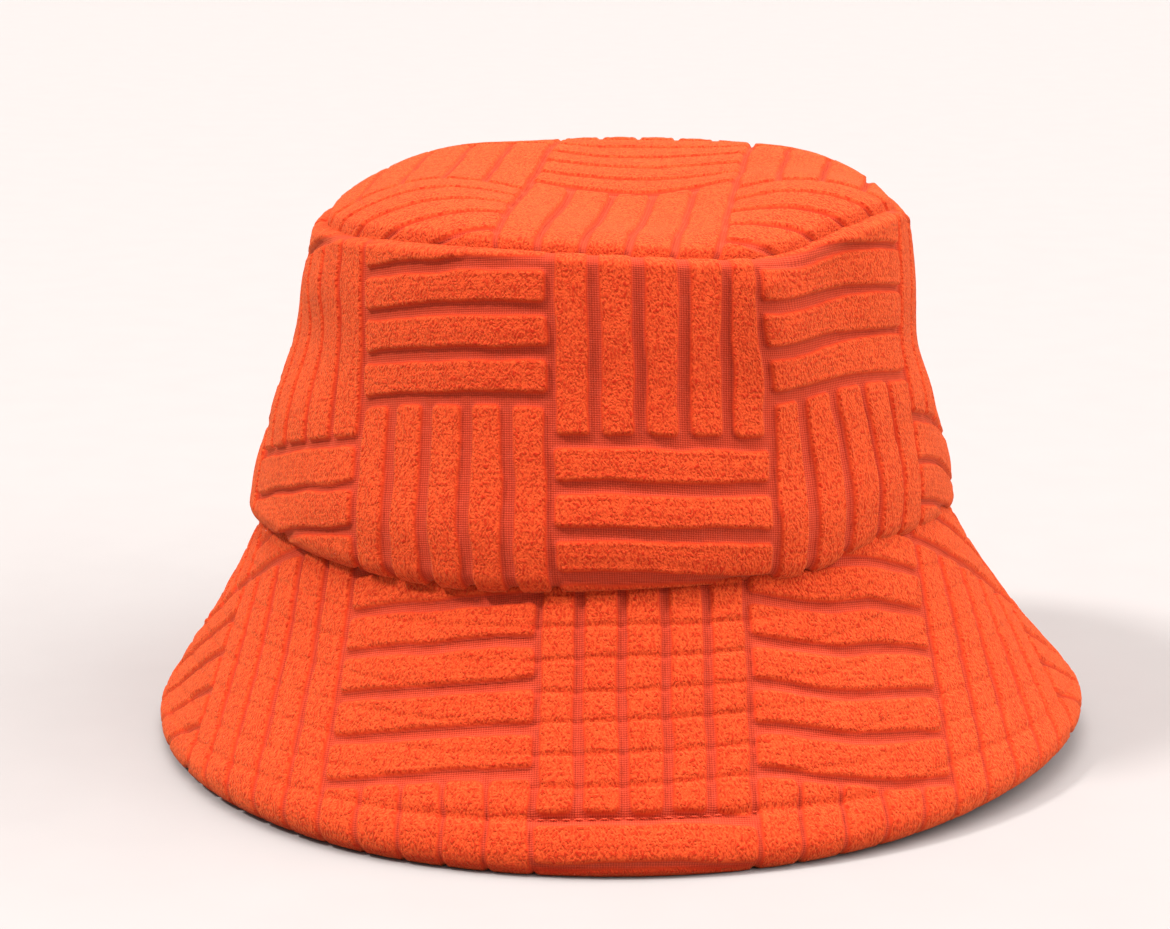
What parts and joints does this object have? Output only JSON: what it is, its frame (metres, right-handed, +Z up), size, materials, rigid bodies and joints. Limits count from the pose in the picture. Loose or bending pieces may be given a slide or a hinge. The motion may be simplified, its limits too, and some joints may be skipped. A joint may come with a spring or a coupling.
{
  "type": "bucket hat",
  "caption": "Soft terry-cloth bucket hat with a tapered crown, a domed top and a sloping brim in rows of topstitching.",
  "frame": {"origin": "centre of the circle that the rim stands on, at floor level", "axes": "+Z up through the middle of the crown, -Y towards the front, +X to the wearer's left"},
  "size_m": [0.257, 0.257, 0.154],
  "materials": {
    "terry": "rib-pile terry in a basket weave",
    "under_terry": "rib-pile terry, in the brim's shade",
    "interlining": "stiff nonwoven",
    "lining": "plain woven cotton",
    "sweatband": "twill tape",
    "thread": "spun polyester thread",
    "label": "blank woven satin"
  },
  "bodies": {
    "hat": {"crown_top": "terry", "crown_side_front": "terry", "crown_side_back": "terry", "brim_upper_front": "terry", "brim_upper_back": "terry", "brim_interlining_front": "interlining", "brim_interlining_back": "interlining", "brim_under_front": "under_terry", "brim_under_back": "under_terry", "lining_top": "lining", "lining_side_front": "lining", "lining_side_back": "lining", "sweatband": "sweatband", "sweatband_thread": "thread", "top_seam_thread": "thread", "brim_seam_thread": "thread", "brim_stitch_1": "thread", "brim_stitch_2": "thread", "brim_stitch_3": "thread", "brim_stitch_4": "thread", "brim_stitch_5": "thread", "brim_stitch_6": "thread", "brim_stitch_7": "thread", "brim_stitch_8": "thread"},
    "label": {"care_label": "label"}
  },
  "joints": [
    {"name": "label_flap", "type": "hinge", "parent": "hat", "child": "label", "pos_m": [0, 0.0753, 0.134], "axis": [-1, 0, 0], "range_deg": [-8, 80]}
  ]
}
